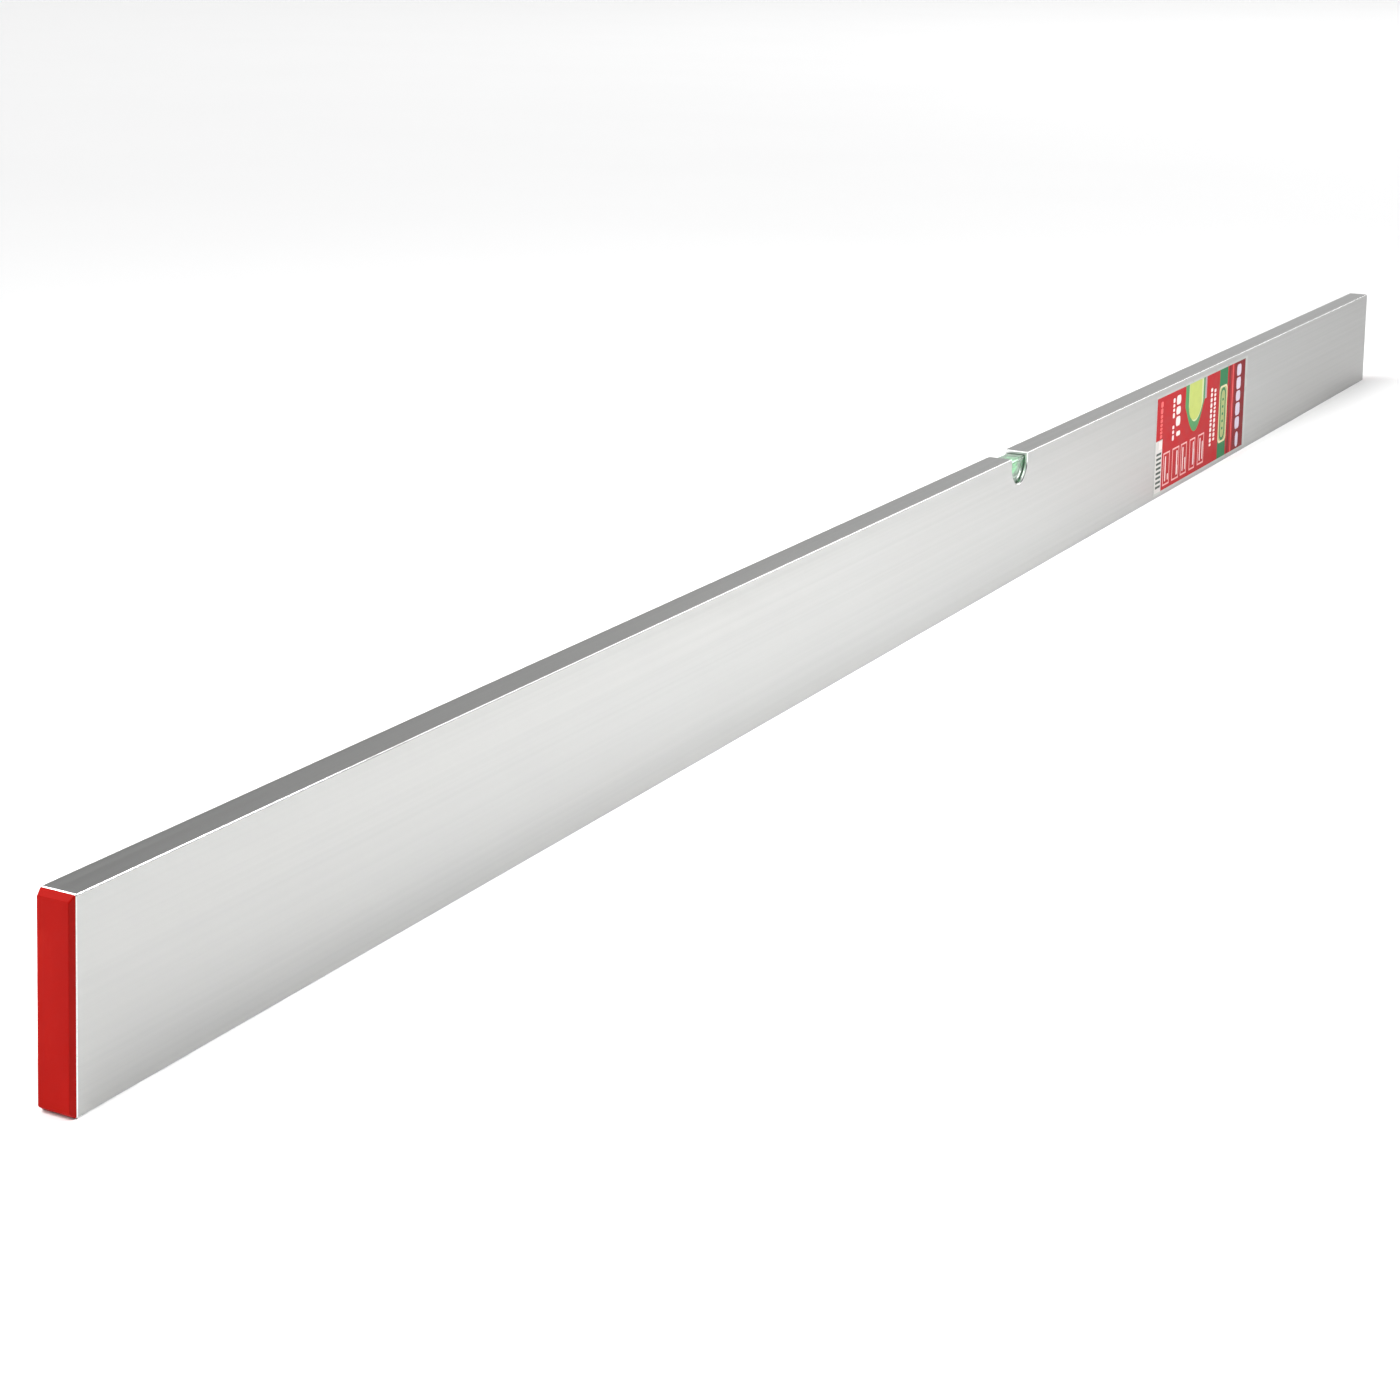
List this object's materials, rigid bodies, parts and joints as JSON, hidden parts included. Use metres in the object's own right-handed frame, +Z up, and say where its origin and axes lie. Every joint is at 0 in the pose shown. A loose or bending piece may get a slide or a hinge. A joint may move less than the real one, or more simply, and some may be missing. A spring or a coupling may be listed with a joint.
{
  "type": "box-section spirit level",
  "caption": "Long box-section aluminium spirit level with an acrylic vial block under a round-bottomed notch in its upper edge, moulded end caps and a front label film.",
  "frame": {"origin": "middle of the lower measuring edge, at the centre of the level's length and thickness", "axes": "+X along the level towards the labelled end, +Y through the thickness away from the labelled face, +Z up from the lower measuring edge to the vial edge"},
  "size_m": [2, 0.0182, 0.09],
  "materials": {
    "profile_aluminium": "satin anodised",
    "cap_plastic": "satin moulded",
    "vial_acrylic": "clear polished",
    "plug_acrylic": "clear moulded",
    "fluid_green": "clear liquid",
    "bubble_air": "clear",
    "ring_black": "satin",
    "adhesive_grey": "cured resin",
    "label_film": "printed gloss film"
  },
  "bodies": {
    "level": {"profile": "profile_aluminium", "end_cap_left": "cap_plastic", "end_cap_right": "cap_plastic", "vial_block": "vial_acrylic", "vial_plug": "plug_acrylic", "vial_fluid": "fluid_green", "ring_line_left": "ring_black", "ring_line_right": "ring_black", "adhesive_left": "adhesive_grey", "adhesive_right": "adhesive_grey", "product_label": "label_film"},
    "air_bubble": {"bubble": "bubble_air"}
  },
  "joints": [
    {"name": "bubble_travel", "type": "slide", "parent": "level", "child": "air_bubble", "axis": [1, 0, 0], "range_m": [-0.016, 0.016], "stiffness_N_per_m": 5}
  ]
}
